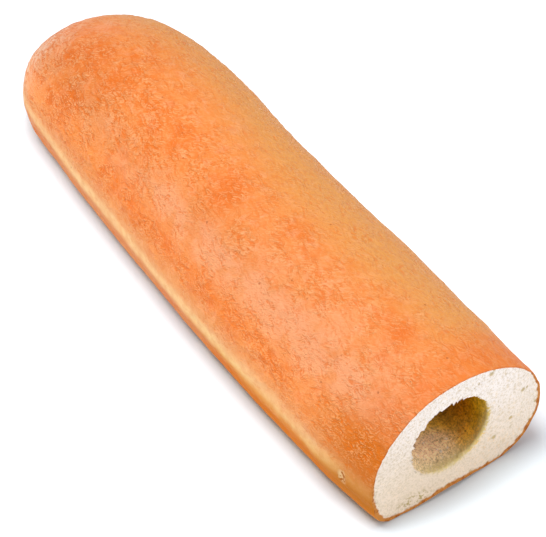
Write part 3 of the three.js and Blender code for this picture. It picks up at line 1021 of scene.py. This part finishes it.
class HOTDOGROLL_OT_roll(bpy.types.Operator):
    """Builds the roll's closed surface and its crust and crumb, in place of the CAD node"""

    bl_idname = "hotdogroll.roll"
    bl_label = "Build Roll"

    def execute(self, context):
        scene = context.scene
        mottle = mottle_group()
        specks = specks_group()
        mesh = roll_mesh(scene.roll_shape)
        mesh.materials.append(crust_material(scene.roll_looks, mottle, specks))
        mesh.materials.append(crumb_material(scene.roll_looks, mottle, specks))
        piece = bpy.data.objects.new("roll_baked", mesh)
        scene.collection.objects.link(piece)
        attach(piece, "root")
        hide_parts("roll")
        return {"FINISHED"}


class HOTDOGROLL_OT_stage(bpy.types.Operator):
    """Sets the plain floor, the soft light and the camera"""

    bl_idname = "hotdogroll.stage"
    bl_label = "Set Stage"

    def execute(self, context):
        scene = context.scene
        stage = scene.roll_stage
        scene.view_settings.view_transform = "Standard"
        self.lay_floor(scene, stage)
        self.light(scene, stage)
        self.set_camera(scene, stage)
        return {"FINISHED"}

    def lay_floor(self, scene, stage):
        half = stage.floor_size / 2
        corners = [(-half, -half, 0), (half, -half, 0), (half, half, 0), (-half, half, 0)]
        mesh = bpy.data.meshes.new("floor")
        mesh.from_pydata(corners, [], [(0, 1, 2, 3)])
        material, wire, shader = blank_material("studio_floor", FLOOR_ROUGHNESS, CRUMB_SHEEN)
        wire.feed(shader.inputs["Base Color"], stage.floor)
        mesh.materials.append(material)
        floor = bpy.data.objects.new("floor", mesh)
        scene.collection.objects.link(floor)

    def light(self, scene, stage):
        world = bpy.data.worlds.new("studio_light")
        world.use_nodes = True
        background = world.node_tree.nodes["Background"]
        background.inputs["Color"].default_value = (1, 1, 1, 1)
        background.inputs["Strength"].default_value = stage.sky
        scene.world = world
        for name in ("key", "top", "fill"):
            self.hang_lamp(scene, stage, name)

    def hang_lamp(self, scene, stage, name):
        """Hangs the lamp whose properties start with that name, turned to the origin."""
        lamp = bpy.data.lights.new(name, "AREA")
        lamp.energy = getattr(stage, f"{name}_power")
        lamp.shape = "RECTANGLE"
        lamp.size = getattr(stage, f"{name}_width")
        lamp.size_y = getattr(stage, f"{name}_length")
        hung = bpy.data.objects.new(name, lamp)
        hung.location = getattr(stage, f"{name}_place")
        hung.rotation_euler = hung.location.to_track_quat("Z", "Y").to_euler()
        scene.collection.objects.link(hung)

    def set_camera(self, scene, stage):
        data = bpy.data.cameras.new("camera")
        data.lens = stage.lens
        data.sensor_width = 36.0
        data.clip_start = 0.01
        camera = bpy.data.objects.new("camera", data)
        scene.collection.objects.link(camera)
        level = math.cos(stage.elevation)
        right = Vector((math.cos(stage.azimuth), math.sin(stage.azimuth), 0))
        back = Vector((right.y * level, -right.x * level, math.sin(stage.elevation)))
        turn = Matrix((right, back.cross(right), back)).transposed()
        place = Vector(stage.aim) + back * stage.distance
        camera.matrix_world = Matrix.Translation(place) @ turn.to_4x4()
        scene.camera = camera


class HOTDOGROLL_PT_panel(bpy.types.Panel):
    """Lists the roll's sizes, colours and stage, with the buttons that build them"""

    bl_idname = "HOTDOGROLL_PT_panel"
    bl_label = "Hot Dog Roll"
    bl_space_type = "VIEW_3D"
    bl_region_type = "UI"
    bl_category = "Hot Dog Roll"

    def draw(self, context):
        scene = context.scene
        for group, operator in (
            (scene.roll_shape, None),
            (scene.roll_looks, HOTDOGROLL_OT_roll),
            (scene.roll_stage, HOTDOGROLL_OT_stage),
        ):
            box = self.layout.box()
            for name in group.__annotations__:
                box.prop(group, name)
            if operator:
                box.operator(operator.bl_idname)


CLASSES = (RollShape, RollLooks, RollStage, HOTDOGROLL_OT_roll, HOTDOGROLL_OT_stage, HOTDOGROLL_PT_panel)


def register():
    for cls in CLASSES:
        bpy.utils.register_class(cls)
    bpy.types.Scene.roll_shape = bpy.props.PointerProperty(type=RollShape)
    bpy.types.Scene.roll_looks = bpy.props.PointerProperty(type=RollLooks)
    bpy.types.Scene.roll_stage = bpy.props.PointerProperty(type=RollStage)


def unregister():
    del bpy.types.Scene.roll_stage
    del bpy.types.Scene.roll_looks
    del bpy.types.Scene.roll_shape
    for cls in reversed(CLASSES):
        bpy.utils.unregister_class(cls)


def main():
    register()
    bpy.ops.hotdogroll.roll()
    bpy.ops.hotdogroll.stage()


if __name__ == "__main__":
    main()
